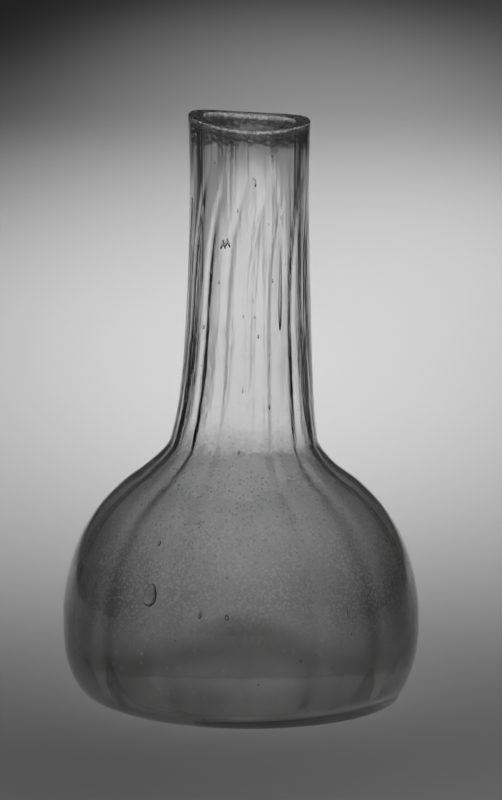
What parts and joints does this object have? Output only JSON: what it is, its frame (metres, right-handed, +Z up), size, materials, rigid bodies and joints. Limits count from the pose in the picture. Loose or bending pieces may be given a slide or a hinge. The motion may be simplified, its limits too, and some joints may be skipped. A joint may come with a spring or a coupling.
{
  "type": "glass carafe",
  "caption": "Blown clear glass carafe with a rounded body, a deep kick in its base, a long neck ribbed on the inside and an uneven open mouth.",
  "frame": {"origin": "centre of the body on the surface it stands on", "axes": "+Z up through the body, +X to the right of the picture's view, -Y towards the picture's viewer"},
  "size_m": [0.1314, 0.1314, 0.2185],
  "materials": {
    "glass": "clear, bright outside, with a fine speckled weathering inside the body below the shoulder"
  },
  "bodies": {
    "root": {"carafe": "glass"}
  },
  "joints": []
}
